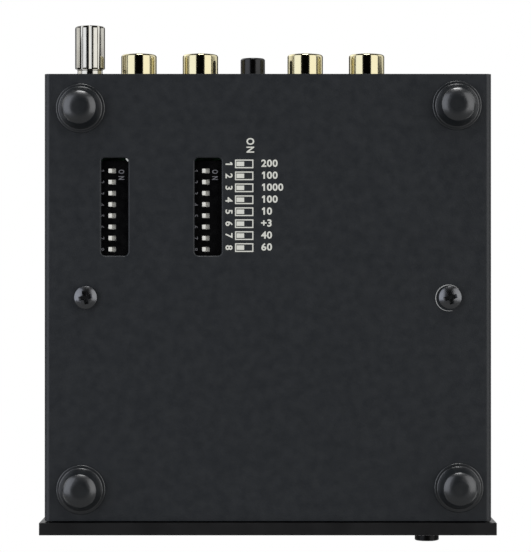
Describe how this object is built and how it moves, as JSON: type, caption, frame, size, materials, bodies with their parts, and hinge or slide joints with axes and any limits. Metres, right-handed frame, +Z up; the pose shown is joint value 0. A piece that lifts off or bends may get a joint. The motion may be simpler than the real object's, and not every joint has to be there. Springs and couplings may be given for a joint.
{
  "type": "phono preamp",
  "caption": "Small box for a turntable signal: folded black sleeve on domed feet, gold phono sockets, power socket and ground terminal at the rear, two switch banks set in the base.",
  "frame": {"origin": "middle of the whole footprint, at the surface the feet stand on", "axes": "+Z up, -Y towards the front plate, +Y towards the sockets, +X to the right seen from the front"},
  "size_m": [0.1032, 0.12, 0.0397],
  "materials": {
    "sleeve_coat": "fine textured black powder coat on folded steel sheet",
    "plate_black": "satin black anodised aluminium",
    "panel_coat": "black powder coat on flat sheet",
    "bracket_steel": "zinc-plated sheet, dull",
    "screw_black": "black oxide screws, slight sheen",
    "screw_zinc": "bright zinc screws",
    "foot_rubber": "glossy black polyurethane bumper",
    "socket_block": "black moulded nylon",
    "socket_gold": "mirror gold plating on turned brass",
    "core_white": "white moulded socket core",
    "core_red": "red moulded socket core",
    "jack_black": "glossy black moulded nylon",
    "nickel": "bright nickel plating on turned brass",
    "brass_plain": "plain brass",
    "button_black": "satin black moulded button",
    "switch_grey": "dark grey switch body",
    "plunger_white": "white acetal plunger",
    "lamp_clear": "clear epoxy lamp, lit blue in use",
    "dip_black": "glossy black moulded switch housing",
    "dip_white": "white acetal slider",
    "tin": "tinned pins",
    "board_green": "green solder mask on glass-fibre board",
    "can_blue": "dark blue sleeve on aluminium can",
    "film_red": "red dipped box",
    "chip_black": "black moulded package",
    "resistor_tan": "tan lacquered body"
  },
  "bodies": {
    "case": {"sleeve": "sleeve_coat", "front_plate": "plate_black", "front_bracket": "bracket_steel", "front_plate_screws": "screw_zinc", "rear_panel": "panel_coat", "rear_panel_screws": "screw_black", "pcb": "board_green", "pcb_standoffs": "brass_plain", "pcb_screws": "screw_zinc", "base_screws": "screw_black", "foot_front_left": "foot_rubber", "foot_front_right": "foot_rubber", "foot_rear_left": "foot_rubber", "foot_rear_right": "foot_rubber", "rca_input_housing": "socket_block", "rca_output_housing": "socket_block", "rca_shell_input_left": "socket_gold", "rca_shell_input_right": "socket_gold", "rca_shell_output_left": "socket_gold", "rca_shell_output_right": "socket_gold", "rca_white_insulators": "core_white", "rca_red_insulators": "core_red", "rca_contacts": "socket_gold", "power_jack_housing": "jack_black", "power_jack_contact": "tin", "ground_stud": "nickel", "ground_lug": "brass_plain", "ground_lock_washer": "screw_zinc", "ground_hex_nut": "nickel", "push_switch_body": "switch_grey", "led": "lamp_clear", "dip_outer_housing": "dip_black", "dip_inner_housing": "dip_black", "dip_bases": "chip_black", "dip_pins": "tin", "electrolytic_capacitors": "can_blue", "film_capacitors": "film_red", "op_amps": "chip_black", "voltage_regulators": "chip_black", "resistors": "resistor_tan"},
    "power_button": {"button_cap": "button_black", "push_switch_plunger": "plunger_white"},
    "ground_washer": {"ground_washer": "nickel"},
    "ground_thumb_nut": {"ground_thumb_nut": "nickel"},
    "dip_outer_slider_1": {"dip_outer_slider_1": "dip_white"},
    "dip_outer_slider_2": {"dip_outer_slider_2": "dip_white"},
    "dip_outer_slider_3": {"dip_outer_slider_3": "dip_white"},
    "dip_outer_slider_4": {"dip_outer_slider_4": "dip_white"},
    "dip_outer_slider_5": {"dip_outer_slider_5": "dip_white"},
    "dip_outer_slider_6": {"dip_outer_slider_6": "dip_white"},
    "dip_outer_slider_7": {"dip_outer_slider_7": "dip_white"},
    "dip_outer_slider_8": {"dip_outer_slider_8": "dip_white"},
    "dip_inner_slider_1": {"dip_inner_slider_1": "dip_white"},
    "dip_inner_slider_2": {"dip_inner_slider_2": "dip_white"},
    "dip_inner_slider_3": {"dip_inner_slider_3": "dip_white"},
    "dip_inner_slider_4": {"dip_inner_slider_4": "dip_white"},
    "dip_inner_slider_5": {"dip_inner_slider_5": "dip_white"},
    "dip_inner_slider_6": {"dip_inner_slider_6": "dip_white"},
    "dip_inner_slider_7": {"dip_inner_slider_7": "dip_white"},
    "dip_inner_slider_8": {"dip_inner_slider_8": "dip_white"}
  },
  "joints": [
    {"name": "button_press", "type": "slide", "parent": "case", "child": "power_button", "axis": [0, 1, 0], "range_m": [0, 0.002], "stiffness_N_per_m": 500, "springref_m": -0.002},
    {"name": "ground_nut_travel", "type": "slide", "parent": "case", "child": "ground_washer", "axis": [0, 1, 0], "range_m": [0, 0.006]},
    {"name": "ground_nut_turn", "type": "hinge", "parent": "ground_washer", "child": "ground_thumb_nut", "pos_m": [0.0414, 0.04965, 0.022], "axis": [0, 1, 0], "range_deg": [0, 4320]},
    {"name": "dip_outer_slide_1", "type": "slide", "parent": "case", "child": "dip_outer_slider_1", "axis": [-1, 0, 0], "range_m": [0, 0.0008]},
    {"name": "dip_outer_slide_2", "type": "slide", "parent": "case", "child": "dip_outer_slider_2", "axis": [-1, 0, 0], "range_m": [0, 0.0008]},
    {"name": "dip_outer_slide_3", "type": "slide", "parent": "case", "child": "dip_outer_slider_3", "axis": [-1, 0, 0], "range_m": [0, 0.0008]},
    {"name": "dip_outer_slide_4", "type": "slide", "parent": "case", "child": "dip_outer_slider_4", "axis": [-1, 0, 0], "range_m": [0, 0.0008]},
    {"name": "dip_outer_slide_5", "type": "slide", "parent": "case", "child": "dip_outer_slider_5", "axis": [-1, 0, 0], "range_m": [0, 0.0008]},
    {"name": "dip_outer_slide_6", "type": "slide", "parent": "case", "child": "dip_outer_slider_6", "axis": [-1, 0, 0], "range_m": [0, 0.0008]},
    {"name": "dip_outer_slide_7", "type": "slide", "parent": "case", "child": "dip_outer_slider_7", "axis": [-1, 0, 0], "range_m": [0, 0.0008]},
    {"name": "dip_outer_slide_8", "type": "slide", "parent": "case", "child": "dip_outer_slider_8", "axis": [-1, 0, 0], "range_m": [0, 0.0008]},
    {"name": "dip_inner_slide_1", "type": "slide", "parent": "case", "child": "dip_inner_slider_1", "axis": [-1, 0, 0], "range_m": [0, 0.0008]},
    {"name": "dip_inner_slide_2", "type": "slide", "parent": "case", "child": "dip_inner_slider_2", "axis": [-1, 0, 0], "range_m": [0, 0.0008]},
    {"name": "dip_inner_slide_3", "type": "slide", "parent": "case", "child": "dip_inner_slider_3", "axis": [-1, 0, 0], "range_m": [0, 0.0008]},
    {"name": "dip_inner_slide_4", "type": "slide", "parent": "case", "child": "dip_inner_slider_4", "axis": [-1, 0, 0], "range_m": [0, 0.0008]},
    {"name": "dip_inner_slide_5", "type": "slide", "parent": "case", "child": "dip_inner_slider_5", "axis": [-1, 0, 0], "range_m": [0, 0.0008]},
    {"name": "dip_inner_slide_6", "type": "slide", "parent": "case", "child": "dip_inner_slider_6", "axis": [-1, 0, 0], "range_m": [0, 0.0008]},
    {"name": "dip_inner_slide_7", "type": "slide", "parent": "case", "child": "dip_inner_slider_7", "axis": [-1, 0, 0], "range_m": [0, 0.0008]},
    {"name": "dip_inner_slide_8", "type": "slide", "parent": "case", "child": "dip_inner_slider_8", "axis": [-1, 0, 0], "range_m": [0, 0.0008]}
  ],
  "couplings": [
    {"joint": "ground_nut_turn", "follows": "ground_nut_travel", "rad_per_m": 12566}
  ]
}
